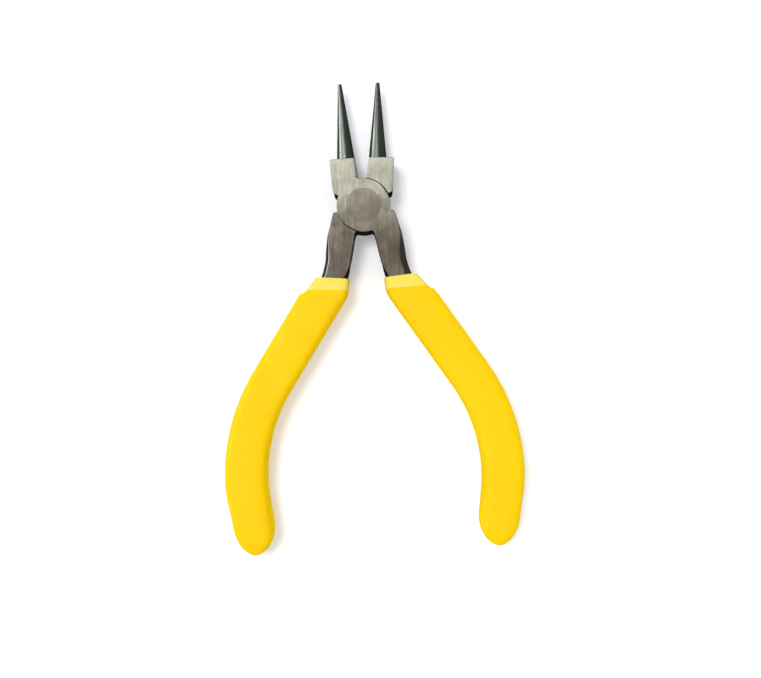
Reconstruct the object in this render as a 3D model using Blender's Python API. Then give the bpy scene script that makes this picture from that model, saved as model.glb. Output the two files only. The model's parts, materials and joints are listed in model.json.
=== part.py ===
"""Mini round-nose pliers: two lap-jointed steel halves, a flush rivet and two slip-on vinyl grips.

The pliers lie flat. The pivot axis is x = y = 0, the jaws point along +Y, +Z is up, and the grips
rest on z = 0. A half is drawn with the jaws shut, its jaw on the -X side and its handle on the +X
side, in millimetres about the middle plane of the joint. The front half is then turned about the
pivot to the opening at rest. The back half is the same forging, turned over about the Y axis.
"""
import math

import bmesh
import bpy
from mathutils import Vector

MM = 0.001
WELD_DISTANCE = 0.001
CUT_OVERRUN = 1.0           # how far a cutting tool stands proud of what it cuts

SHARP_ANGLE = 35.0          # faces that meet at less are shaded as one

# Frame
MID_HEIGHT = 5.3            # height of the joint's middle plane above the surface
REST_ANGLE = 7.6            # turn of each half from shut, in degrees

# Lap joint
JOINT_HALF = 4.8            # half the thickness of the joint
DISC_RADIUS = 7.0
LAP_CLEARANCE = 0.05        # from the middle plane to each lapped face
DISC_CLEARANCE = 0.1        # running fit of a disc in the other half's hollow
EDGE_ROUND = 0.2            # broken edge around the ground faces
EDGE_DEPTH = 1.5            # depth of a rounded edge, as a share of its width
HOLLOW_SEGMENTS = 96
ARC_STEP = 5.0              # degrees between two points of the disc's edge

# Shoulder that carries the jaw
SHOULDER_TOP = ((-0.30, 12.55), (-6.55, 13.10), (-6.80, 12.82))
SHOULDER_SIDE = ((-7.08, 7.85), (-7.25, 5.1))
SHOULDER_FOOT_RADIUS = 8.25
SHOULDER_FOOT_ANGLE = 149.5
JAW_SIDE = ((-0.15, 7.6), (-0.15, 10.0))    # the shut halves keep 0.3 mm between them

# Round jaw
JAW_BASE = (-2.62, 11.8)
JAW_TIP = (-0.65, 33.3)
JAW_BASE_RADIUS = 2.5
JAW_TIP_RADIUS = 0.53
JAW_CROWN = 0.25            # length of the rounded tip
JAW_SEGMENTS = 32

# Rivet
RIVET_HEAD_RADIUS = 4.43
RIVET_SHANK_RADIUS = 2.6
RIVET_RIM = 0.3             # straight rim of the countersunk head
RIVET_SINK = 1.4            # depth of the countersink under the rim
RIVET_GAP = 0.06
RIVET_SEGMENTS = 64

# Handle line: a straight run, a bend back toward the middle, and a straight end
LINE_START = (2.91, -12.9)
LINE_ANGLE = 25.7           # degrees from -Y toward +X
LINE_STRAIGHT = 39.3
BEND_RADIUS = 47.4
BEND_SWEEP = 40.6
LINE_END = 86.4             # length of the line to the end of the grip

# Tang: its edges from the disc to inside the grip, then offsets from the handle line
TANG_TOP_ANGLE = -19.0
DISC_TOP_ANGLE = 90.0       # where the disc's edge meets the side of the shoulder
DISC_END_ANGLE = 276.0      # where the disc's edge runs into the tang
TANG_TOP_CORNER = ((7.84, -3.35), (7.50, -2.74))
TANG_ROOT = ((1.00, -6.93), (1.31, -7.15), (1.55, -7.6))
TANG_INNER = ((1.69, -8.8), (1.86, -12.1), (2.18, -15.5), (2.6, -19.5), (4.05, -23.5))
TANG_OUTER = ((8.62, -8.8), (8.78, -12.3), (8.80, -15.9), (9.55, -19.9), (11.2, -23.3))
TANG_SIDE_STEPS = 3         # steps between two of the points above
TANG_RINGS = 14             # steps along the tang inside the grip
TANG_OFFSET = 3.3           # half the width inside the grip
TANG_END_OFFSET = 2.7
TANG_TAPER_START = 40.0
TANG_OFFSET_START = 15.0
TANG_END = 81.0             # where the tang stops on the handle line
TANG_TIP_LENGTH = 3.0       # over which its rounded tip narrows
TANG_TIP = ((0.8, 1.9), (0.0, 0.0))     # (distance short of the end, half width)
TANG_HALF = 3.7             # half the thickness at the grip's mouth
TANG_INNER_HALF = 3.1       # half the thickness inside the grip
MOUTH_THINNING = (-8.5, -20.5)      # runs along y over which the tang thins
INSIDE_THINNING = (-20.5, -30.0)
OUTER_ROUNDING = 1.3        # how much rounder the outer edges get along their run
OUTER_ROUNDING_RUN = (-7.0, -14.5)
INNER_ROUNDING = 1.1
INNER_ROUNDING_RUN = (-15.5, -21.0)

# Grip: skewed rings at the mouth as (inner point, outer point, half thickness)
GRIP_MOUTH = (
    ((2.05, -19.50), (10.80, -19.88), 4.4),
    ((1.93, -19.75), (11.03, -20.20), 4.5),
    ((1.94, -22.55), (13.20, -23.60), 4.95),
    ((1.98, -23.12), (14.10, -24.58), 5.28),
)
GRIP_HALF_WIDTH = 5.5
GRIP_HALF_HEIGHT = 5.3
GRIP_INNER_START = 10.6     # where the inner side joins the handle line's offset
GRIP_OUTER_START = 15.4
GRIP_EVEN = 30.0            # from here the rings stand square to the line
GRIP_TAPER_START = 66.0     # from here the outer side narrows
GRIP_OUTER_TAPER = 0.6
GRIP_CAP_INNER = 7.4        # length of the rounded end on its inner side
GRIP_CAP_OUTER = 8.4
GRIP_CAP_SKEW_LENGTH = 33.0     # over which the rings lean to meet the skewed end
GRIP_CAP_FULLNESS = 0.6     # exponent that keeps the end thick while it narrows
GRIP_CAP_ANGLES = (0.0, 15.0, 30.0, 45.0, 60.0, 75.0, 86.0)
GRIP_SQUARENESS = 4.4       # exponent of the section's superellipse
SOCKET_SQUARENESS = 4.0
SOCKET_LEAD = ((-0.2, 2.0), (-0.3, 2.0))    # from the mouth out past the lip
SOCKET_END = (0.5, 2.0)     # distance beyond the tang and half width
GRIP_GAP = 0.3              # between the tang and the grip
GRIP_SEGMENTS = 24
GRIP_RINGS = 24


def polar(radius, degrees):
    angle = math.radians(degrees)
    return (radius * math.cos(angle), radius * math.sin(angle))


def spread(start, end, steps):
    """Evenly spaced values from start to end, with the given steps between them."""
    return [start + (end - start) * i / steps for i in range(steps + 1)]


def arc(radius, start, end):
    return [polar(radius, degrees) for degrees in spread(start, end, round((end - start) / ARC_STEP))]


def blend(value, start, end):
    """Goes smoothly from 0 at start to 1 at end, in either direction."""
    part = min(1.0, max(0.0, (value - start) / (end - start)))
    return part * part * (3.0 - 2.0 * part)


def smooth_curve(points, steps):
    """A Catmull-Rom curve through the points, with the given steps between two of them."""
    guides = [Vector(point) for point in points]
    guides.insert(0, 2.0 * guides[0] - guides[1])
    guides.append(2.0 * guides[-1] - guides[-2])
    curve = []
    for i in range(1, len(guides) - 2):
        before, here, after, beyond = guides[i - 1:i + 3]
        for step in range(steps):
            t = step / steps
            curve.append(0.5 * (2.0 * here + (after - before) * t
                                + (2.0 * before - 5.0 * here + 4.0 * after - beyond) * t * t
                                + (3.0 * here - before - 3.0 * after + beyond) * t ** 3))
    curve.append(guides[-2])
    return curve


def handle_point(length, offset):
    """The point at a length along the handle line, moved sideways away from the middle."""
    angle = math.radians(LINE_ANGLE)
    direction = Vector((math.sin(angle), -math.cos(angle)))
    outward = Vector((math.cos(angle), math.sin(angle)))
    start = Vector(LINE_START)
    bend_length = BEND_RADIUS * math.radians(BEND_SWEEP)
    if length <= LINE_STRAIGHT:
        return start + direction * length + outward * offset
    centre = start + direction * LINE_STRAIGHT - outward * BEND_RADIUS
    turned = min(length - LINE_STRAIGHT, bend_length) / BEND_RADIUS
    angle -= turned
    direction = Vector((math.sin(angle), -math.cos(angle)))
    outward = Vector((math.cos(angle), math.sin(angle)))
    beyond = length - LINE_STRAIGHT - turned * BEND_RADIUS
    return centre + outward * (BEND_RADIUS + offset) + direction * beyond


def half_thickness(y):
    """Half the thickness of the forging: full at the joint, thinner into the grip."""
    to_mouth = (TANG_HALF - JOINT_HALF) * blend(y, *MOUTH_THINNING)
    to_inside = (TANG_INNER_HALF - TANG_HALF) * blend(y, *INSIDE_THINNING)
    return JOINT_HALF + to_mouth + to_inside


def outer_rounding(y):
    return EDGE_ROUND + OUTER_ROUNDING * blend(y, *OUTER_ROUNDING_RUN)


def inner_rounding(y):
    return EDGE_ROUND + INNER_ROUNDING * blend(y, *INNER_ROUNDING_RUN)


def tang_offset(length):
    return TANG_OFFSET + (TANG_END_OFFSET - TANG_OFFSET) * blend(length, TANG_TAPER_START, TANG_END)


def half_outline():
    """The outline as joint, inner side, end and outer side, each point with its edge rounding."""
    joint = list(TANG_TOP_CORNER)
    joint += arc(DISC_RADIUS, TANG_TOP_ANGLE, DISC_TOP_ANGLE)
    joint += list(JAW_SIDE + SHOULDER_TOP + SHOULDER_SIDE)
    joint.append(polar(SHOULDER_FOOT_RADIUS, SHOULDER_FOOT_ANGLE))
    joint += arc(DISC_RADIUS, SHOULDER_FOOT_ANGLE, DISC_END_ANGLE)
    joint += list(TANG_ROOT)
    inner = smooth_curve(TANG_INNER, TANG_SIDE_STEPS)
    outer = smooth_curve(TANG_OUTER, TANG_SIDE_STEPS)
    lengths = spread(TANG_OFFSET_START, TANG_END - TANG_TIP_LENGTH, TANG_RINGS)
    inner += [handle_point(length, -tang_offset(length)) for length in lengths]
    outer += [handle_point(length, tang_offset(length)) for length in lengths]
    end = [handle_point(TANG_END - short, -half_width) for short, half_width in TANG_TIP]
    end.append(handle_point(TANG_END - TANG_TIP[0][0], TANG_TIP[0][1]))
    joint = [(p[0], p[1], EDGE_ROUND) for p in joint]
    inner = [(p[0], p[1], inner_rounding(p[1])) for p in inner]
    end = [(p[0], p[1], inner_rounding(p[1])) for p in end]
    outer = [(p[0], p[1], outer_rounding(p[1])) for p in outer]
    return joint, inner, end, outer


def inward_normals(points):
    """For each point of an anticlockwise outline, the way in that keeps both its sides even."""
    normals = []
    count = len(points)
    for i in range(count):
        here = Vector(points[i][:2])
        before = (here - Vector(points[i - 1][:2])).normalized()
        after = (Vector(points[(i + 1) % count][:2]) - here).normalized()
        left = Vector((-before.y - after.y, before.x + after.x)).normalized()
        normals.append(left / max(0.5, left.dot(Vector((-after.y, after.x)))))
    return normals


def new_object(name, bm):
    mesh = bpy.data.meshes.new(name)
    bmesh.ops.recalc_face_normals(bm, faces=bm.faces)
    bm.to_mesh(mesh)
    bm.free()
    obj = bpy.data.objects.new(name, mesh)
    bpy.context.scene.collection.objects.link(obj)
    return obj


def steel_blank():
    """The forging's plan outline, with its varying thickness and rounded edges."""
    joint, inner, end, outer = half_outline()
    outline = joint + inner + end + list(reversed(outer))
    normals = inward_normals(outline)
    bm = bmesh.new()
    rings = []
    for side, turns in ((-1, (90, 45, 0)), (1, (0, 45, 90))):
        for turn in turns:
            angle = math.radians(turn)
            ring = []
            for (x, y, rounding), normal in zip(outline, normals):
                inset = normal * rounding * (1.0 - math.cos(angle))
                drop = EDGE_DEPTH * rounding * (1.0 - math.sin(angle))
                height = side * (half_thickness(y) - drop)
                ring.append(bm.verts.new(Vector((x + inset.x, y + inset.y, height)) * MM))
            rings.append(ring)
    count = len(outline)
    for low, high in zip(rings, rings[1:]):
        for i in range(count):
            j = (i + 1) % count
            bm.faces.new((low[i], low[j], high[j], high[i]))
    first = len(joint)
    last = first + len(inner)
    for ring in (rings[0], rings[-1]):
        bm.faces.new(ring[:first + 1] + [ring[count - 1]])
        for k in range(len(inner) - 1):
            bm.faces.new((ring[first + k], ring[first + k + 1], ring[count - 2 - k], ring[count - 1 - k]))
        bm.faces.new(ring[last - 1:last + len(end) + 1])
    return new_object("steel_blank", bm)


def turned(name, profile, segments):
    """A solid turned about the Z axis from (radius, height) points that start and end on it."""
    bm = bmesh.new()
    verts = [bm.verts.new((radius * MM, 0.0, height * MM)) for radius, height in profile]
    edges = [bm.edges.new(pair) for pair in zip(verts, verts[1:])]
    bmesh.ops.spin(bm, geom=verts + edges, cent=(0, 0, 0), axis=(0, 0, 1), angle=math.tau,
                   steps=segments, use_duplicate=False)
    bmesh.ops.remove_doubles(bm, verts=bm.verts, dist=WELD_DISTANCE * MM)
    return new_object(name, bm)


def rivet_profile(gap, overrun):
    rim = JOINT_HALF - RIVET_RIM
    head = RIVET_HEAD_RADIUS + gap
    shank = RIVET_SHANK_RADIUS + gap
    end = JOINT_HALF + overrun
    return [(0, -end), (head, -end), (head, -rim), (shank, -rim + RIVET_SINK),
            (shank, rim - RIVET_SINK), (head, rim), (head, end), (0, end)]


def jaw_cone():
    base = Vector((*JAW_BASE, 0.0))
    along = Vector((*JAW_TIP, 0.0)) - base
    length = along.length
    profile = [(0, 0), (JAW_BASE_RADIUS, 0)]
    for degrees in (0.0, 45.0, 90.0):
        radius = JAW_TIP_RADIUS - JAW_CROWN * (1.0 - math.cos(math.radians(degrees)))
        profile.append((radius, length - JAW_CROWN * (1.0 - math.sin(math.radians(degrees)))))
    profile.append((0, length))
    cone = turned("jaw_cone", profile, JAW_SEGMENTS)
    cone.matrix_world = along.to_track_quat("Z", "X").to_matrix().to_4x4()
    cone.location = base * MM
    return cone


def combine(target, tool, operation):
    """Applies a Boolean of the tool to the target's mesh and removes the tool."""
    modifier = target.modifiers.new(operation.lower(), "BOOLEAN")
    modifier.operation = operation
    modifier.solver = "EXACT"
    modifier.object = tool
    bpy.context.view_layer.update()
    depsgraph = bpy.context.evaluated_depsgraph_get()
    mesh = bpy.data.meshes.new_from_object(target.evaluated_get(depsgraph))
    target.modifiers.clear()
    target.data = mesh
    bpy.data.objects.remove(tool)


def steel_half():
    """One forging with its jaw, its lapped disc and its rivet hole."""
    half = steel_blank()
    combine(half, jaw_cone(), "UNION")
    hollow = DISC_RADIUS + DISC_CLEARANCE
    bottom = -JOINT_HALF - CUT_OVERRUN
    lap = [(0, bottom), (hollow, bottom), (hollow, LAP_CLEARANCE), (0, LAP_CLEARANCE)]
    combine(half, turned("lap_cutter", lap, HOLLOW_SEGMENTS), "DIFFERENCE")
    combine(half, turned("hole_cutter", rivet_profile(RIVET_GAP, CUT_OVERRUN), RIVET_SEGMENTS), "DIFFERENCE")
    return half


def ring_points(inner, outer, half_height, squareness=GRIP_SQUARENESS):
    """A superellipse on the line from its inner to its outer point, flat at its top and bottom."""
    inner = Vector((inner[0], inner[1], 0.0))
    outer = Vector((outer[0], outer[1], 0.0))
    centre = (inner + outer) / 2.0
    reach = (outer - inner) / 2.0
    power = 2.0 / squareness
    flat_level = math.cos(math.pi / GRIP_SEGMENTS) ** power
    points = []
    for i in range(GRIP_SEGMENTS):
        angle = math.tau * (i + 0.5) / GRIP_SEGMENTS
        across = math.copysign(abs(math.cos(angle)) ** power, math.cos(angle)) / flat_level
        up = math.copysign(abs(math.sin(angle)) ** power, math.sin(angle)) / flat_level
        points.append(centre + reach * across + Vector((0.0, 0.0, half_height * up)))
    return points


def lofted(name, sections):
    """A closed skin over rings of points, with flat ends."""
    bm = bmesh.new()
    rings = [[bm.verts.new(point * MM) for point in section] for section in sections]
    count = len(rings[0])
    for near, far in zip(rings, rings[1:]):
        for i in range(count):
            j = (i + 1) % count
            bm.faces.new((near[i], near[j], far[j], far[i]))
    bm.faces.new(rings[0])
    bm.faces.new(rings[-1])
    return new_object(name, bm)


def grip_side_points(inner_length):
    """The inner and outer points of the grip's ring that starts at a length along its inner side."""
    inner_end = LINE_END - GRIP_CAP_INNER
    outer_end = LINE_END - GRIP_CAP_OUTER
    lean = (GRIP_OUTER_START - GRIP_INNER_START) * blend(inner_length, GRIP_EVEN, GRIP_INNER_START)
    lean += (outer_end - inner_end) * blend(inner_length, inner_end - GRIP_CAP_SKEW_LENGTH, inner_end)
    outer_length = inner_length + lean
    taper = GRIP_OUTER_TAPER * blend(outer_length, GRIP_TAPER_START, outer_end)
    return handle_point(inner_length, -GRIP_HALF_WIDTH), handle_point(outer_length, GRIP_HALF_WIDTH - taper)


def grip_sections():
    """The rings of the grip's outside: the mouth, the body and the rounded end."""
    sections = [ring_points(*ring) for ring in GRIP_MOUTH]
    inner_end = LINE_END - GRIP_CAP_INNER
    outer_end = LINE_END - GRIP_CAP_OUTER
    outer_half_width = GRIP_HALF_WIDTH - GRIP_OUTER_TAPER
    for length in spread(GRIP_INNER_START, inner_end, GRIP_RINGS)[:-1]:
        sections.append(ring_points(*grip_side_points(length), GRIP_HALF_HEIGHT))
    for degrees in GRIP_CAP_ANGLES:
        shrink = math.cos(math.radians(degrees))
        reach = math.sin(math.radians(degrees))
        inner = handle_point(inner_end + GRIP_CAP_INNER * reach, -GRIP_HALF_WIDTH * shrink)
        outer = handle_point(outer_end + GRIP_CAP_OUTER * reach, outer_half_width * shrink)
        sections.append(ring_points(inner, outer, GRIP_HALF_HEIGHT * shrink ** GRIP_CAP_FULLNESS))
    return sections


def tang_socket():
    """The space inside a grip: the tang with the fitting gap around it."""
    inner = [Vector(p) for p in TANG_INNER[-2:]]
    outer = [Vector(p) for p in TANG_OUTER[-2:]]
    inner.insert(0, inner[0] + Vector(SOCKET_LEAD[0]))
    outer.insert(0, outer[0] + Vector(SOCKET_LEAD[1]))
    lengths = spread(TANG_OFFSET_START, TANG_END, TANG_RINGS)
    inner += [handle_point(length, -tang_offset(length)) for length in lengths]
    outer += [handle_point(length, tang_offset(length)) for length in lengths]
    inner.append(handle_point(TANG_END + SOCKET_END[0], -SOCKET_END[1]))
    outer.append(handle_point(TANG_END + SOCKET_END[0], SOCKET_END[1]))
    sections = []
    for near, far in zip(inner, outer):
        gap = (far - near).normalized() * GRIP_GAP
        height = half_thickness((near.y + far.y) / 2.0) + GRIP_GAP
        sections.append(ring_points(near - gap, far + gap, height, SOCKET_SQUARENESS))
    return lofted("tang_socket", sections)


def grip_sleeve():
    sleeve = lofted("grip_sleeve", grip_sections())
    combine(sleeve, tang_socket(), "DIFFERENCE")
    return sleeve


def principled(name, colour, roughness, metallic):
    material = bpy.data.materials.new(name)
    material.use_nodes = True
    shader = material.node_tree.nodes["Principled BSDF"]
    shader.inputs["Base Color"].default_value = (*colour, 1.0)
    shader.inputs["Roughness"].default_value = roughness
    shader.inputs["Metallic"].default_value = metallic
    return material


def smooth(mesh):
    mesh.shade_smooth()
    mesh.set_sharp_from_angle(angle=math.radians(SHARP_ANGLE))


def place_pair(shape, names, materials):
    """Two objects with one shape: as drawn on the front, and turned over on the back."""
    smooth(shape.data)
    opening = math.radians(REST_ANGLE)
    for name, material, rotation in zip(names, materials, ((0, 0, opening), (0, math.pi, -opening))):
        obj = bpy.data.objects.new(name, shape.data.copy())
        obj.data.materials.clear()
        obj.data.materials.append(material)
        obj.location = (0, 0, MID_HEIGHT * MM)
        obj.rotation_euler = rotation
        bpy.context.scene.collection.objects.link(obj)
    bpy.data.objects.remove(shape)


def main():
    for obj in list(bpy.data.objects):
        bpy.data.objects.remove(obj)
    steel = (principled("front_steel", (0.50, 0.48, 0.43), 0.35, 1.0),
             principled("back_steel", (0.50, 0.48, 0.43), 0.35, 1.0))
    vinyl = (principled("right_vinyl", (1.0, 0.66, 0.01), 0.40, 0.0),
             principled("left_vinyl", (1.0, 0.66, 0.01), 0.40, 0.0))
    place_pair(steel_half(), ("front_half", "back_half"), steel)
    place_pair(grip_sleeve(), ("grip_right", "grip_left"), vinyl)
    rivet_steel = principled("rivet_steel", (0.42, 0.37, 0.32), 0.40, 1.0)
    rivet = turned("pivot_rivet", rivet_profile(0.0, 0.0), RIVET_SEGMENTS)
    rivet.data.materials.append(rivet_steel)
    rivet.location = (0, 0, MID_HEIGHT * MM)
    smooth(rivet.data)


main()
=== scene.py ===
"""Looks for the mini round-nose pliers: fine meshes, procedural materials, studio light and camera.

Lengths are in millimetres until a vertex is made. A half is drawn with the jaws shut, its jaw on the
-X side, about the middle plane of the joint, and then turned to its opening at rest. The back half is
the front half's shape turned over about Y.
"""
import json
import math

import bmesh
import bpy
from mathutils import Matrix, Vector


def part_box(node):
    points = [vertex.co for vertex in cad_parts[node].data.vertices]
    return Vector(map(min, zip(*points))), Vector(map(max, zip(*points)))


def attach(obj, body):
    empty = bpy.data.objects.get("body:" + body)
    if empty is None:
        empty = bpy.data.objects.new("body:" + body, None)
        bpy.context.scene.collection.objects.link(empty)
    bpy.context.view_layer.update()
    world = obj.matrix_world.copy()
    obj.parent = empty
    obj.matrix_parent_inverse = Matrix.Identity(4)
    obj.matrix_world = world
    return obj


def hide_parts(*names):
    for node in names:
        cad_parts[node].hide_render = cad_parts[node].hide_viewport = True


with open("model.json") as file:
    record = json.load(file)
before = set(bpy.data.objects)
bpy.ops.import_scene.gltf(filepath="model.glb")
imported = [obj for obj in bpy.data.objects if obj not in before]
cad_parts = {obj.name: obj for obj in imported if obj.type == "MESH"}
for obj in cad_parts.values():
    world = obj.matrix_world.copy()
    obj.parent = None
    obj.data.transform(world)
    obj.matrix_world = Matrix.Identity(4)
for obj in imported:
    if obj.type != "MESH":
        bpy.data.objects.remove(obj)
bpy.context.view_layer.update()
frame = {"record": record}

MM = 0.001

# Frame
PIVOT = Vector(frame["record"]["behaviour"]["joints"][0]["pos_m"])
RIVET_LOW, RIVET_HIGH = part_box("pivot_rivet")
JOINT_HALF = (RIVET_HIGH.z - RIVET_LOW.z) / 2.0 / MM
RIVET_HEAD_RADIUS = 4.43
REST_ANGLE = 7.6            # what each half is turned by at rest
ROUND_SEGMENTS = 96
LAP_SEGMENTS = 180
CUTTER_OVERRUN = 1.0

# Lap joint
DISC_RADIUS = 7.0
LAP_CLEARANCE = 0.05
DISC_CLEARANCE = 0.1
EDGE_ROUND = 0.14
EDGE_DEPTH = 1.5            # depth of a rounded tang edge over its width
EDGE_STEPS = 7
POLISHED_STEPS = 5          # those nearest the wall that are polished on the tang's outer side
SEAM_RELIEF = 0.14
SEAM_RELIEF_ANGLES = (24.0, 232.0)
SEAM_RELIEF_SPREAD = 26.0
RIVET_SHANK_RADIUS = 2.6
RIVET_RIM = 0.3
RIVET_SINK = 1.4
RIVET_GAP = 0.025

# Shoulder
SHOULDER_FOOT_RADIUS = 8.25
SHOULDER_FOOT_ANGLE = 149.5
SHOULDER_SIDE = ((-7.08, 7.85), (-7.25, 5.1))
SHOULDER_TOP_OUTER = (-6.80, 13.12)
SHOULDER_TOP_INNER = (-0.30, 12.55)
SHOULDER_BULGE = (-6.84, 10.8)
SHOULDER_INNER_ROUND = 0.15
SHOULDER_OUTER_ROUND = 0.45
SHOULDER_FOOT_ROUND = 0.3
JAW_PLANE = -0.15
JAW_BEVEL = 1.1
BEVEL_SLOPE = 0.15
BEVEL_MARGIN = 0.2
BEVEL_RISE = (7.0, 7.7)
BEVEL_FADE = (13.5, 8.0)

# Round jaw
JAW_BASE = (-2.62, 11.8)
JAW_TIP = (-0.65, 33.3)
JAW_BASE_RADIUS = 2.5
JAW_TIP_RADIUS = 0.53
JAW_CROWN = 0.3
JAW_CROWN_STEPS = 6

# Handle line
LINE_START = (2.91, -12.9)
LINE_ANGLE = 25.7
LINE_STRAIGHT = 39.3
BEND_RADIUS = 47.4
BEND_SWEEP = 40.6
LINE_END = 86.4

# Tang
TANG_TOP_ANGLE = -19.0
TANG_TOP_CORNER = (7.71, -2.85)
TANG_TOP_SIDE = (8.35, -6.0)
TANG_TOP_ROUND = 0.5
TANG_FOOT_ANGLE = 276.0
TANG_ROOT = ((1.00, -6.93), (1.31, -7.15), (1.55, -7.6))
TANG_INNER = ((1.69, -8.8), (1.86, -12.1), (2.18, -15.5), (2.6, -19.5), (4.05, -23.5))
TANG_OUTER = ((8.62, -8.8), (8.78, -12.3), (8.80, -15.9), (9.55, -19.9), (11.2, -23.3))
WEDGE_START = -16.2
TANG_OFFSET = 3.3
TANG_END_OFFSET = 2.7
TANG_OFFSET_START = 15.0
TANG_TAPER_START = 40.0
TANG_END = 81.0
TANG_SIDE_END = TANG_END - 3.0
TANG_TIP_SETBACK = 0.8
TANG_TIP_OFFSET = 1.9
TANG_HALF = 3.7
TANG_INNER_HALF = 3.1
THIN_START = 8.5
THIN_MOUTH = 20.5
THIN_END = 30.0
OUTER_ROUND = 1.75
OUTER_ROUND_SPAN = (7.0, 14.5)
INNER_ROUND = 1.1
INNER_ROUND_SPAN = (15.5, 21.0)

# Grip
GRIP_HALF_WIDTH = 5.5
GRIP_HALF_HEIGHT = 5.3
GRIP_INNER_START = 10.6
GRIP_OUTER_START = 15.4
GRIP_EVEN = 30.0
GRIP_TAPER_START = 66.0
GRIP_OUTER_TAPER = 0.6
GRIP_CAP_INNER = 7.4
GRIP_CAP_OUTER = 8.4
GRIP_SQUARENESS = 4.4
SOCKET_SQUARENESS = 4.0
GRIP_GAP = 0.2
GRIP_SEGMENTS = 96
GRIP_RINGS = 120
GRIP_SKEW_START = 46.0
CAP_STEPS = 23
CAP_LAST_ANGLE = 89.0
CAP_BLUNTNESS = 0.45
COLLAR_RINGS = 5
GRIP_MOUTH = (               # inner point, outer point and half height of each ring at the lip
    ((2.25, -19.42), (10.55, -19.80), 4.25),
    ((2.05, -19.50), (10.85, -19.93), 4.40),
    ((1.93, -19.75), (11.08, -20.25), 4.50),
    ((1.93, -21.10), (12.15, -21.95), 4.72),
    ((1.94, -22.45), (13.12, -23.50), 4.92),
    ((1.94, -22.62), (13.30, -23.75), 4.97),
    ((1.95, -22.80), (13.62, -24.02), 5.10),
    ((1.96, -22.95), (13.90, -24.30), 5.22),
    ((1.98, -23.12), (14.10, -24.58), 5.28),
)

# Shading
STEEL_SHARP_ANGLE = 32.0
VINYL_SHARP_ANGLE = 50.0

# View
CAMERA_HEIGHT = 244.8       # above the joint's middle plane
VIEW_WIDTH = 202.1          # seen at the height of that plane
VIEW_CENTRE = (2.97, -35.08)
VIEW_ROLL = 2.39
SENSOR_WIDTH = 36.0


def polar(radius, degrees):
    angle = math.radians(degrees)
    return (radius * math.cos(angle), radius * math.sin(angle))


def blend(value, start, end):
    """Goes smoothly from 0 at start to 1 at end."""
    part = min(1.0, max(0.0, (value - start) / (end - start)))
    return part * part * (3.0 - 2.0 * part)


def disc_edge(start, end, steps):
    """The disc's arc, ground a little smaller where the seam beside it gapes."""
    points = []
    for i in range(steps + 1):
        degrees = start + (end - start) * i / steps
        relief = sum(blend(abs(degrees - middle), SEAM_RELIEF_SPREAD, 0.0) for middle in SEAM_RELIEF_ANGLES)
        points.append(polar(DISC_RADIUS - SEAM_RELIEF * relief, degrees))
    return points


def round_corner(before, corner, after, radius, steps):
    """Points of an arc that rounds the corner between two straight sides."""
    corner = Vector(corner)
    back = (Vector(before) - corner).normalized()
    ahead = (Vector(after) - corner).normalized()
    half = back.angle(ahead) / 2.0
    centre = corner + (back + ahead).normalized() * radius / math.sin(half)
    start = corner + back * radius / math.tan(half) - centre
    end = corner + ahead * radius / math.tan(half) - centre
    turn = start.angle_signed(end)
    points = []
    for i in range(steps + 1):
        spoke = start.copy()
        spoke.rotate(Matrix.Rotation(-turn * i / steps, 2))
        points.append(centre + spoke)
    return points


def smooth_curve(points, steps):
    """A Catmull-Rom curve through the points, with the given steps between two of them."""
    guides = [Vector(point) for point in points]
    guides.insert(0, 2.0 * guides[0] - guides[1])
    guides.append(2.0 * guides[-1] - guides[-2])
    curve = []
    for i in range(1, len(guides) - 2):
        before, here, after, beyond = guides[i - 1:i + 3]
        for step in range(steps):
            t = step / steps
            curve.append(0.5 * (2.0 * here + (after - before) * t
                                + (2.0 * before - 5.0 * here + 4.0 * after - beyond) * t * t
                                + (3.0 * here - before - 3.0 * after + beyond) * t ** 3))
    curve.append(guides[-2])
    return curve


def handle_point(length, offset):
    """The point at a length along the handle line, moved sideways away from the middle."""
    angle = math.radians(LINE_ANGLE)
    direction = Vector((math.sin(angle), -math.cos(angle)))
    outward = Vector((math.cos(angle), math.sin(angle)))
    start = Vector(LINE_START)
    bend_length = BEND_RADIUS * math.radians(BEND_SWEEP)
    if length <= LINE_STRAIGHT:
        return start + direction * length + outward * offset
    centre = start + direction * LINE_STRAIGHT - outward * BEND_RADIUS
    turned_angle = min(length - LINE_STRAIGHT, bend_length) / BEND_RADIUS
    angle -= turned_angle
    direction = Vector((math.sin(angle), -math.cos(angle)))
    outward = Vector((math.cos(angle), math.sin(angle)))
    beyond = length - LINE_STRAIGHT - turned_angle * BEND_RADIUS
    return centre + outward * (BEND_RADIUS + offset) + direction * beyond


def half_thickness(y):
    """Half the thickness of the forging: full at the joint, thinner into the grip."""
    to_mouth = blend(-y, THIN_START, THIN_MOUTH)
    to_inside = blend(-y, THIN_MOUTH, THIN_END)
    return JOINT_HALF + (TANG_HALF - JOINT_HALF) * to_mouth + (TANG_INNER_HALF - TANG_HALF) * to_inside


def outer_rounding(y):
    return EDGE_ROUND + OUTER_ROUND * blend(-y, *OUTER_ROUND_SPAN)


def inner_rounding(y):
    return EDGE_ROUND + INNER_ROUND * blend(-y, *INNER_ROUND_SPAN)


def jaw_bevel(point):
    """How much wider the edge beside the other jaw is rounded, on the upper face only."""
    if point[0] < JAW_PLANE - BEVEL_MARGIN or point[1] < BEVEL_RISE[0]:
        return 0.0
    return JAW_BEVEL * blend(point[1], *BEVEL_FADE) * blend(point[1], *BEVEL_RISE)


def tang_offset(length):
    return TANG_OFFSET + (TANG_END_OFFSET - TANG_OFFSET) * blend(length, TANG_TAPER_START, TANG_END)


def with_edges(points, rounding):
    """Adds the width and depth of a tang's rounded edge to each point."""
    return [(p[0], p[1], rounding(p[1]), EDGE_DEPTH * rounding(p[1])) for p in points]


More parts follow.
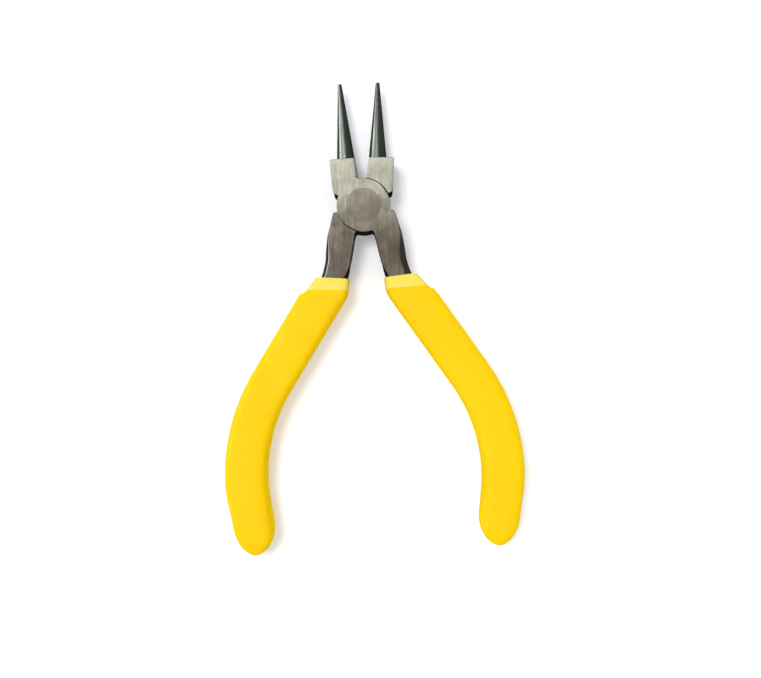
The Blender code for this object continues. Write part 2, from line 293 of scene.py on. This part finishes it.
def half_outline():
    """The outline as joint, inner side, end and outer side: x, y, and the edge's width and depth."""
    foot = polar(SHOULDER_FOOT_RADIUS, SHOULDER_FOOT_ANGLE)
    tang_top = polar(DISC_RADIUS, TANG_TOP_ANGLE)
    joint = round_corner(TANG_TOP_SIDE, TANG_TOP_CORNER, tang_top, TANG_TOP_ROUND, 6)
    joint += disc_edge(TANG_TOP_ANGLE, 90.0, 64)
    joint += smooth_curve(((JAW_PLANE, 7.6), (JAW_PLANE, 10.0), (-0.22, 11.6)), 4)
    joint += round_corner((JAW_PLANE, 10.0), SHOULDER_TOP_INNER, SHOULDER_TOP_OUTER,
                          SHOULDER_INNER_ROUND, 4)
    joint += round_corner(SHOULDER_TOP_INNER, SHOULDER_TOP_OUTER, SHOULDER_SIDE[0],
                          SHOULDER_OUTER_ROUND, 6)
    joint += smooth_curve((SHOULDER_BULGE,) + SHOULDER_SIDE, 6)
    joint += round_corner(SHOULDER_SIDE[1], foot, (0.0, 0.0), SHOULDER_FOOT_ROUND, 6)
    joint += disc_edge(SHOULDER_FOOT_ANGLE, TANG_FOOT_ANGLE, 72)
    joint += smooth_curve(TANG_ROOT, 4)
    inner = smooth_curve(TANG_INNER, 12)
    outer = smooth_curve(TANG_OUTER, 12)
    lengths = [TANG_OFFSET_START + (TANG_SIDE_END - TANG_OFFSET_START) * i / 24 for i in range(25)]
    inner += [handle_point(length, -tang_offset(length)) for length in lengths]
    outer += [handle_point(length, tang_offset(length)) for length in lengths]
    end = [handle_point(TANG_END - TANG_TIP_SETBACK, -TANG_TIP_OFFSET),
           handle_point(TANG_END, 0.0),
           handle_point(TANG_END - TANG_TIP_SETBACK, TANG_TIP_OFFSET)]
    joint = [(p[0], p[1], EDGE_ROUND + jaw_bevel(p), EDGE_ROUND + BEVEL_SLOPE * jaw_bevel(p)) for p in joint]
    return (joint, with_edges(inner, inner_rounding), with_edges(end, inner_rounding),
            with_edges(outer, outer_rounding))


def inward_normals(points):
    """For each point of an anticlockwise outline, the way in that keeps both its sides even."""
    normals = []
    count = len(points)
    for i in range(count):
        here = Vector(points[i][:2])
        before = (here - Vector(points[i - 1][:2])).normalized()
        after = (Vector(points[(i + 1) % count][:2]) - here).normalized()
        left = Vector((-before.y - after.y, before.x + after.x)).normalized()
        normals.append(left / max(0.5, left.dot(Vector((-after.y, after.x)))))
    return normals


def new_object(name, bm, materials):
    mesh = bpy.data.meshes.new(name)
    bmesh.ops.recalc_face_normals(bm, faces=bm.faces)
    bm.to_mesh(mesh)
    bm.free()
    for material in materials:
        mesh.materials.append(material)
    obj = bpy.data.objects.new(name, mesh)
    bpy.context.scene.collection.objects.link(obj)
    return obj


GROUND, POLISHED, DARK = range(3)


def steel_blank(materials):
    """The forging's plan outline, with its varying thickness and rounded edges."""
    joint, inner, end, outer = half_outline()
    outline = joint + inner + end + list(reversed(outer))
    normals = inward_normals(outline)
    bm = bmesh.new()
    rings = []
    for side in (-1, 1):
        for step in range(EDGE_STEPS + 1):
            turn = step if side > 0 else EDGE_STEPS - step
            angle = math.radians(90.0 * turn / EDGE_STEPS)
            ring = []
            for (x, y, width, depth), normal in zip(outline, normals):
                if side < 0 and y > 0.0:
                    width = depth = EDGE_ROUND
                inset = normal * width * (1.0 - math.cos(angle))
                height = side * (half_thickness(y) - depth * (1.0 - math.sin(angle)))
                ring.append(bm.verts.new(Vector((x + inset.x, y + inset.y, height)) * MM))
            rings.append(ring)
    count = len(outline)
    for level, (low, high) in enumerate(zip(rings, rings[1:])):
        for i in range(count):
            j = (i + 1) % count
            face = bm.faces.new((low[i], low[j], high[j], high[i]))
            from_wall = abs(level - EDGE_STEPS)
            # Painted shade: the joint's walls take the near-black skin, and so does the whole inner side
            # below the mouth except its rim, for the shade between the handles.
            if i < len(joint):
                face.material_index = DARK if from_wall == 0 else GROUND
            elif i < len(joint) + len(inner):
                below_mouth = outline[i][1] < WEDGE_START
                rim = from_wall == EDGE_STEPS
                face.material_index = DARK if below_mouth and not rim else GROUND
            else:
                face.material_index = GROUND if from_wall > POLISHED_STEPS else POLISHED
    first = len(joint)
    last = first + len(inner)
    for ring in (rings[0], rings[-1]):
        bm.faces.new(ring[:first + 1] + [ring[count - 1]])
        for k in range(len(inner) - 1):
            bm.faces.new((ring[first + k], ring[first + k + 1], ring[count - 2 - k], ring[count - 1 - k]))
        bm.faces.new(ring[last - 1:last + len(end) + 1])
    return new_object("steel_blank", bm, materials)


def turned(name, profile, segments, materials):
    """A solid turned about the Z axis from (radius, height) points that start and end on it."""
    bm = bmesh.new()
    verts = [bm.verts.new((radius * MM, 0.0, height * MM)) for radius, height in profile]
    edges = [bm.edges.new(pair) for pair in zip(verts, verts[1:])]
    bmesh.ops.spin(bm, geom=verts + edges, cent=(0, 0, 0), axis=(0, 0, 1), angle=math.tau,
                   steps=segments, use_duplicate=False)
    bmesh.ops.remove_doubles(bm, verts=bm.verts, dist=0.001 * MM)
    return new_object(name, bm, materials)


def rivet_profile(gap, overrun):
    rim = JOINT_HALF - RIVET_RIM
    head = RIVET_HEAD_RADIUS + gap
    shank = RIVET_SHANK_RADIUS + gap
    end = JOINT_HALF + overrun
    return [(0, -end), (head, -end), (head, -rim), (shank, -rim + RIVET_SINK),
            (shank, rim - RIVET_SINK), (head, rim), (head, end), (0, end)]


def jaw_cone(material):
    base = Vector((*JAW_BASE, 0.0))
    along = Vector((*JAW_TIP, 0.0)) - base
    length = along.length
    profile = [(0, 0), (JAW_BASE_RADIUS, 0)]
    for i in range(JAW_CROWN_STEPS + 1):
        angle = math.radians(90.0 * i / JAW_CROWN_STEPS)
        radius = JAW_TIP_RADIUS - JAW_CROWN * (1.0 - math.cos(angle))
        profile.append((radius, length - JAW_CROWN * (1.0 - math.sin(angle))))
    profile.append((0, length))
    cone = turned("jaw_cone", profile, ROUND_SEGMENTS, [material])
    cone.matrix_world = along.to_track_quat("Z", "X").to_matrix().to_4x4()
    cone.location = base * MM
    return cone


def combine(target, tool, operation):
    """Applies a Boolean of the tool to the target's mesh and removes the tool."""
    modifier = target.modifiers.new(operation.lower(), "BOOLEAN")
    modifier.operation = operation
    modifier.solver = "EXACT"
    modifier.material_mode = "TRANSFER"
    modifier.object = tool
    bpy.context.view_layer.update()
    depsgraph = bpy.context.evaluated_depsgraph_get()
    mesh = bpy.data.meshes.new_from_object(target.evaluated_get(depsgraph))
    target.modifiers.clear()
    target.data = mesh
    bpy.data.objects.remove(tool)


def steel_half(materials):
    """One forging with its jaw, its lapped disc and its rivet hole."""
    half = steel_blank(materials)
    combine(half, jaw_cone(materials[POLISHED]), "UNION")
    hollow = DISC_RADIUS + DISC_CLEARANCE
    # The lap's cut walls and the rivet hole take the near-black skin as painted shade.
    lap = [(0, -2 * JOINT_HALF), (hollow, -2 * JOINT_HALF), (hollow, LAP_CLEARANCE), (0, LAP_CLEARANCE)]
    combine(half, turned("lap_cutter", lap, LAP_SEGMENTS, [materials[DARK]]), "DIFFERENCE")
    hole_profile = rivet_profile(RIVET_GAP, CUTTER_OVERRUN)
    hole = turned("hole_cutter", hole_profile, ROUND_SEGMENTS, [materials[DARK]])
    combine(half, hole, "DIFFERENCE")
    return half


def ring_points(inner, outer, half_height, squareness=GRIP_SQUARENESS):
    """A superellipse on the line from its inner to its outer point."""
    inner = Vector((inner[0], inner[1], 0.0))
    outer = Vector((outer[0], outer[1], 0.0))
    centre = (inner + outer) / 2.0
    reach = (outer - inner) / 2.0
    power = 2.0 / squareness
    points = []
    for i in range(GRIP_SEGMENTS):
        angle = math.tau * i / GRIP_SEGMENTS
        across = math.copysign(abs(math.cos(angle)) ** power, math.cos(angle))
        up = math.copysign(abs(math.sin(angle)) ** power, math.sin(angle))
        points.append(centre + reach * across + Vector((0.0, 0.0, half_height * up)))
    return points


def grip_outside():
    """Rings from the lip to the closed end. The first COLLAR_RINGS of them bound the collar, whose paler
    colour is a painted sheen.
    """
    sections = [ring_points(*ring) for ring in GRIP_MOUTH]
    inner_end = LINE_END - GRIP_CAP_INNER
    outer_end = LINE_END - GRIP_CAP_OUTER
    for i in range(GRIP_RINGS + 1):
        inner_length = GRIP_INNER_START + (inner_end - GRIP_INNER_START) * i / GRIP_RINGS
        evened = blend(inner_length, GRIP_INNER_START, GRIP_EVEN)
        skew = (GRIP_OUTER_START - GRIP_INNER_START) * (1.0 - evened)
        skew -= (GRIP_CAP_OUTER - GRIP_CAP_INNER) * blend(inner_length, GRIP_SKEW_START, inner_end)
        outer_length = inner_length + skew
        inner = handle_point(inner_length, -GRIP_HALF_WIDTH)
        outer_width = GRIP_HALF_WIDTH - GRIP_OUTER_TAPER * blend(outer_length, GRIP_TAPER_START, outer_end)
        outer = handle_point(outer_length, outer_width)
        sections.append(ring_points(inner, outer, GRIP_HALF_HEIGHT))
    cap_width = GRIP_HALF_WIDTH - GRIP_OUTER_TAPER
    for i in range(1, CAP_STEPS + 1):
        degrees = CAP_LAST_ANGLE * i / CAP_STEPS
        shrink = math.cos(math.radians(degrees))
        reach = math.sin(math.radians(degrees))
        inner = handle_point(inner_end + GRIP_CAP_INNER * reach, -GRIP_HALF_WIDTH * shrink)
        outer = handle_point(outer_end + GRIP_CAP_OUTER * reach, cap_width * shrink)
        squareness = GRIP_SQUARENESS + (2.0 - GRIP_SQUARENESS) * degrees / CAP_LAST_ANGLE
        sections.append(ring_points(inner, outer, GRIP_HALF_HEIGHT * shrink ** CAP_BLUNTNESS, squareness))
    return sections


def grip_inside():
    """Rings of the socket, from the lip to its blind end."""
    inner = smooth_curve(TANG_INNER[-2:], 6)
    outer = smooth_curve(TANG_OUTER[-2:], 6)
    lengths = [TANG_OFFSET_START + (TANG_END - TANG_OFFSET_START) * i / 20 for i in range(21)]
    inner += [handle_point(length, -tang_offset(length)) for length in lengths]
    outer += [handle_point(length, tang_offset(length)) for length in lengths]
    sections = []
    for near, far in zip(inner, outer):
        gap = (far - near).normalized() * GRIP_GAP
        height = half_thickness((near.y + far.y) / 2.0) + GRIP_GAP
        sections.append(ring_points(near - gap, far + gap, height, SOCKET_SQUARENESS))
    return sections


def grip_sleeve(materials):
    """A vinyl sleeve: one closed skin from the blind end of the socket, over the lip, to the cap."""
    outside = grip_outside()
    inside = grip_inside()
    sections = list(reversed(inside)) + outside
    bm = bmesh.new()
    rings = [[bm.verts.new(point * MM) for point in section] for section in sections]
    for level, (near, far) in enumerate(zip(rings, rings[1:])):
        for i in range(GRIP_SEGMENTS):
            j = (i + 1) % GRIP_SEGMENTS
            face = bm.faces.new((near[i], near[j], far[j], far[i]))
            # Collar faces take the second vinyl, whose paler colour is a painted sheen.
            face.material_index = 1 if level < len(inside) + COLLAR_RINGS - 1 else 0
    bm.faces.new(rings[0])
    bm.faces.new(rings[-1])
    return new_object("grip_sleeve", bm, materials)


def shade(mesh, degrees):
    mesh.shade_smooth()
    mesh.set_sharp_from_angle(angle=math.radians(degrees))


class Nodes:
    """A small helper that adds and links the nodes of one material."""

    def __init__(self, name):
        self.material = bpy.data.materials.new(name)
        self.material.use_nodes = True
        self.tree = self.material.node_tree
        self.shader = self.tree.nodes["Principled BSDF"]
        self.position = self.add("ShaderNodeTexCoord").outputs["Object"]

    def add(self, kind, **values):
        node = self.tree.nodes.new(kind)
        for key, value in values.items():
            setattr(node, key, value)
        return node

    def link(self, source, target):
        self.tree.links.new(source, target)

    def noise(self, scale, detail=3.0, roughness=0.55, stretch=(1, 1, 1)):
        mapping = self.add("ShaderNodeMapping")
        mapping.inputs["Scale"].default_value = stretch
        self.link(self.position, mapping.inputs["Vector"])
        texture = self.add("ShaderNodeTexNoise")
        texture.inputs["Scale"].default_value = scale
        texture.inputs["Detail"].default_value = detail
        texture.inputs["Roughness"].default_value = roughness
        self.link(mapping.outputs["Vector"], texture.inputs["Vector"])
        return texture.outputs["Fac"]

    def span(self, value, low, high, to_low=0.0, to_high=1.0):
        node = self.add("ShaderNodeMapRange", interpolation_type="SMOOTHSTEP")
        for key, number in (("From Min", low), ("From Max", high), ("To Min", to_low), ("To Max", to_high)):
            node.inputs[key].default_value = number
        self.link(value, node.inputs["Value"])
        return node.outputs["Result"]

    def math(self, operation, first, second):
        node = self.add("ShaderNodeMath", operation=operation)
        for socket, value in zip(node.inputs, (first, second)):
            if isinstance(value, (int, float)):
                socket.default_value = value
            else:
                self.link(value, socket)
        return node.outputs["Value"]

    def mix(self, factor, first, second):
        node = self.add("ShaderNodeMix", data_type="RGBA", blend_type="MIX")
        sockets = (node.inputs[0], node.inputs[6], node.inputs[7])
        for socket, value in zip(sockets, (factor, first, second)):
            if isinstance(value, tuple):
                socket.default_value = (*value, 1.0)
            else:
                self.link(value, socket)
        return node.outputs[2]

    def axis(self, name):
        node = self.add("ShaderNodeSeparateXYZ")
        self.link(self.position, node.inputs["Vector"])
        return node.outputs[name]

    def bump(self, height, strength, distance):
        node = self.add("ShaderNodeBump")
        node.inputs["Strength"].default_value = strength
        node.inputs["Distance"].default_value = distance
        self.link(height, node.inputs["Height"])
        self.link(node.outputs["Normal"], self.shader.inputs["Normal"])


ALONG = (1.0, 0.03, 1.0)    # stretches a pattern along Y, as belt grinding does


def ground_steel(name, light, painted_shade_tone, top, bottom):
    """Belt-ground steel: lengthwise lines, and a painted reflection and shade: a lighter tone at the joint
    going to a warmer, darker one at the grips.
    """
    n = Nodes(name)
    lines = n.noise(9000.0, 2.0, 0.7, ALONG)
    streaks = n.noise(1100.0, 3.0, 0.6, ALONG)
    blotches = n.noise(260.0, 4.0, 0.6)
    # Painted reflection and shade: the tone goes from light at the jaw end to dark at the grip end, by
    # position along Y.
    painted_falloff = n.span(n.axis("Y"), top, bottom)
    tone = n.math("ADD", painted_falloff, n.span(blotches, 0.3, 0.7, -0.08, 0.08))
    tone = n.math("ADD", tone, n.span(streaks, 0.3, 0.7, -0.09, 0.09))
    colour = n.mix(tone, light, painted_shade_tone)
    colour = n.mix(n.span(lines, 0.35, 0.65, 0.0, 0.35), colour, (0.26, 0.24, 0.21))
    n.link(colour, n.shader.inputs["Base Color"])
    rough = n.math("ADD", n.span(lines, 0.3, 0.7, 0.44, 0.56), n.span(blotches, 0.3, 0.7, -0.03, 0.05))
    n.link(rough, n.shader.inputs["Roughness"])
    n.shader.inputs["Metallic"].default_value = 1.0
    n.bump(lines, 0.25, 0.00001)
    return n.material


def polished_steel(name, colour, dull):
    """Dark polished steel with faint lengthwise lines and oily smudges."""
    n = Nodes(name)
    lines = n.noise(7000.0, 2.0, 0.6, ALONG)
    smudges = n.noise(420.0, 4.0, 0.6, (1.0, 0.45, 1.0))
    tone = n.span(smudges, 0.35, 0.7, 0.0, 0.6)
    n.link(n.mix(tone, colour, tuple(0.62 * part for part in colour)), n.shader.inputs["Base Color"])
    rough = n.math("ADD", n.span(smudges, 0.3, 0.7, dull, dull + 0.10), n.span(lines, 0.3, 0.7, -0.03, 0.03))
    n.link(rough, n.shader.inputs["Roughness"])
    n.shader.inputs["Metallic"].default_value = 1.0
    n.shader.inputs["Specular Tint"].default_value = (0.27, 0.30, 0.27, 1.0)
    n.bump(lines, 0.12, 0.00001)
    return n.material


def oxide_and_painted_shade(name):
    """The matt black skin of walls that are never ground, made near black as painted shade where these walls
    sit in shadow.
    """
    n = Nodes(name)
    patches = n.noise(900.0, 4.0, 0.6)
    # Near black: partly the unground skin's own colour, partly painted shade.
    colour = n.mix(n.span(patches, 0.3, 0.7), (0.004, 0.004, 0.004), (0.013, 0.012, 0.010))
    n.link(colour, n.shader.inputs["Base Color"])
    n.link(n.span(patches, 0.3, 0.7, 0.55, 0.75), n.shader.inputs["Roughness"])
    n.shader.inputs["Specular IOR Level"].default_value = 0.05
    n.bump(patches, 0.3, 0.00002)
    return n.material


def vinyl(name, colour, deep, dull):
    """Soft dipped vinyl: a faint orange-peel skin, slow tone changes and scattered light scuffs."""
    n = Nodes(name)
    peel = n.noise(1500.0, 2.0, 0.5)
    slow = n.noise(70.0, 3.0, 0.5)
    scuffs = n.noise(420.0, 5.0, 0.7, (1.0, 0.35, 1.0))
    tone = n.mix(n.span(slow, 0.3, 0.7, 0.0, 1.0), colour, deep)
    n.link(tone, n.shader.inputs["Base Color"])
    base = n.span(slow, 0.3, 0.7, dull - 0.03, dull + 0.04)
    rough = n.math("ADD", base, n.span(scuffs, 0.6, 0.8, 0.0, 0.14))
    n.link(rough, n.shader.inputs["Roughness"])
    n.shader.inputs["Specular IOR Level"].default_value = 0.15
    n.shader.inputs["Subsurface Weight"].default_value = 1.0
    n.shader.inputs["Subsurface Radius"].default_value = (1.0, 0.7, 0.2)
    n.shader.inputs["Subsurface Scale"].default_value = 0.0012
    height = n.math("ADD", peel, n.math("MULTIPLY", scuffs, 0.4))
    n.bump(height, 0.15, 0.00003)
    return n.material


def floor_paint():
    """A white light table, which glows a little, so that shadows on it stay pale."""
    n = Nodes("floor_paint")
    colour = n.mix(n.span(n.noise(4.0), 0.3, 0.7), (0.72, 0.73, 0.77), (0.74, 0.75, 0.79))
    n.link(colour, n.shader.inputs["Base Color"])
    n.shader.inputs["Emission Color"].default_value = (1.0, 1.0, 1.0, 1.0)
    n.shader.inputs["Emission Strength"].default_value = 0.275
    n.shader.inputs["Roughness"].default_value = 0.9
    n.shader.inputs["Specular IOR Level"].default_value = 0.1
    return n.material


def settle(shape, name, node, body, turn):
    """Puts a copy of a drawn shape into the row frame, in place of its CAD node."""
    obj = bpy.data.objects.new(name, shape.data.copy())
    obj.data.transform(Matrix.Translation(PIVOT) @ turn)
    bpy.context.scene.collection.objects.link(obj)
    normals = obj.modifiers.new("face_normals", "WEIGHTED_NORMAL")
    normals.weight = 100
    normals.keep_sharp = True
    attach(obj, body)
    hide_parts(node)
    return obj


def point_at(obj, direction):
    """Turns a lamp so that it shines from the given direction towards the object."""
    obj.rotation_euler = Vector(direction).to_track_quat("Z", "Y").to_euler()


def soft_sun(direction, strength, width):
    """The key light. Steel shows the boxes instead of it."""
    light = bpy.data.lights.new("key", "SUN")
    light.energy = strength
    light.angle = math.radians(width)
    obj = bpy.data.objects.new("key", light)
    obj.visible_glossy = False
    point_at(obj, direction)
    bpy.context.scene.collection.objects.link(obj)


def soft_box(name, spot, size, radiance):
    """A box light that only shows as a reflection."""
    light = bpy.data.lights.new(name, "AREA")
    light.shape = "RECTANGLE"
    light.size, light.size_y = size
    light.energy = radiance * math.pi * size[0] * size[1]
    obj = bpy.data.objects.new(name, light)
    obj.location = spot
    obj.visible_diffuse = False
    obj.visible_camera = False
    point_at(obj, spot)
    bpy.context.scene.collection.objects.link(obj)


def make_lights():
    """A white room, a little darker to the right and dim in reflections, a soft key light and three boxes."""
    world = bpy.data.worlds.new("studio")
    bpy.context.scene.world = world
    world.use_nodes = True
    tree = world.node_tree
    coordinate = tree.nodes.new("ShaderNodeTexCoord")
    split = tree.nodes.new("ShaderNodeSeparateXYZ")
    ramp = tree.nodes.new("ShaderNodeMapRange")
    tree.links.new(coordinate.outputs["Generated"], split.inputs["Vector"])
    tree.links.new(split.outputs["X"], ramp.inputs["Value"])
    for key, number in (("From Min", -1.0), ("From Max", 1.0), ("To Min", 0.70), ("To Max", 0.60)):
        ramp.inputs[key].default_value = number
    rays = tree.nodes.new("ShaderNodeLightPath")
    dim = tree.nodes.new("ShaderNodeMapRange")
    dim.inputs["To Min"].default_value = 1.0
    dim.inputs["To Max"].default_value = 0.2
    tree.links.new(rays.outputs["Is Glossy Ray"], dim.inputs["Value"])
    strength = tree.nodes.new("ShaderNodeMath")
    strength.operation = "MULTIPLY"
    tree.links.new(ramp.outputs["Result"], strength.inputs[0])
    tree.links.new(dim.outputs["Result"], strength.inputs[1])
    tree.links.new(strength.outputs["Value"], tree.nodes["Background"].inputs["Strength"])
    tree.nodes["Background"].inputs["Color"].default_value = (1.0, 1.0, 1.0, 1.0)
    soft_sun(direction=(-0.26, 0.24, 1.0), strength=1.8, width=20.0)
    soft_box("low_left", spot=(-0.8, 0.08, 0.26), size=(0.7, 0.48), radiance=2.5)
    soft_box("side_left", spot=(-0.58, 0.0, 0.69), size=(0.9, 0.45), radiance=1.0)
    soft_box("overhead", spot=(-0.2, 0.05, 0.95), size=(0.64, 0.64), radiance=2.75)


def make_camera():
    data = bpy.data.cameras.new("camera")
    data.sensor_width = SENSOR_WIDTH
    data.lens = SENSOR_WIDTH * CAMERA_HEIGHT / VIEW_WIDTH
    camera = bpy.data.objects.new("camera", data)
    height = PIVOT.z + CAMERA_HEIGHT * MM
    camera.location = (VIEW_CENTRE[0] * MM, VIEW_CENTRE[1] * MM, height)
    camera.rotation_euler = (0.0, 0.0, -math.radians(VIEW_ROLL))
    bpy.context.scene.collection.objects.link(camera)
    bpy.context.scene.camera = camera


def make_floor():
    bm = bmesh.new()
    bmesh.ops.create_grid(bm, x_segments=2, y_segments=2, size=2.0)
    floor = new_object("floor", bm, [floor_paint()])
    floor.visible_glossy = False


def main():
    make_camera()
    make_lights()
    make_floor()

    steel = [
        # The first tone is the painted reflection at the jaw end, the second the painted shade at the grip
        # end.
        ground_steel("ground_steel", light=(0.62, 0.618, 0.50), painted_shade_tone=(0.138, 0.108, 0.082),
                     top=0.012, bottom=-0.0105),
        polished_steel("polished_steel", colour=(0.30, 0.33, 0.29), dull=0.17),
        oxide_and_painted_shade("dark_oxide_and_painted_shade"),
    ]
    # The rivet carries the same painted reflection and shade: lighter towards the jaws, darker towards the
    # grips.
    rivet_steel = ground_steel("rivet_steel", light=(0.335, 0.300, 0.233), painted_shade_tone=(0.195, 0.170, 0.130),
                               top=0.006, bottom=-0.005)
    sleeve = [
        vinyl("yellow_vinyl", colour=(0.97, 0.625, 0.0), deep=(0.95, 0.60, 0.0), dull=0.55),
        # The collar's vinyl: its paler, whiter yellow is a painted sheen of light on the collar's slope.
        vinyl("vinyl_with_painted_sheen", colour=(0.99, 0.73, 0.15), deep=(0.98, 0.71, 0.12), dull=0.45),
    ]

    opening = math.radians(REST_ANGLE)
    as_drawn = Matrix.Rotation(opening, 4, "Z")
    turned_over = Matrix.Rotation(-opening, 4, "Z") @ Matrix.Rotation(math.pi, 4, "Y")
    forging = steel_half(steel)
    shade(forging.data, STEEL_SHARP_ANGLE)
    settle(forging, "front_forging", "front_half", "front_lever", as_drawn)
    settle(forging, "back_forging", "back_half", "back_lever", turned_over)
    bpy.data.objects.remove(forging)
    rivet = turned("rivet", rivet_profile(0.0, 0.0), ROUND_SEGMENTS, [rivet_steel])
    shade(rivet.data, STEEL_SHARP_ANGLE)
    settle(rivet, "flush_rivet", "pivot_rivet", "front_lever", Matrix.Identity(4))
    bpy.data.objects.remove(rivet)
    grip = grip_sleeve(sleeve)
    shade(grip.data, VINYL_SHARP_ANGLE)
    settle(grip, "right_grip", "grip_right", "front_lever", as_drawn)
    settle(grip, "left_grip", "grip_left", "back_lever", turned_over)
    bpy.data.objects.remove(grip)

    bpy.context.scene.view_settings.view_transform = "Standard"


main()
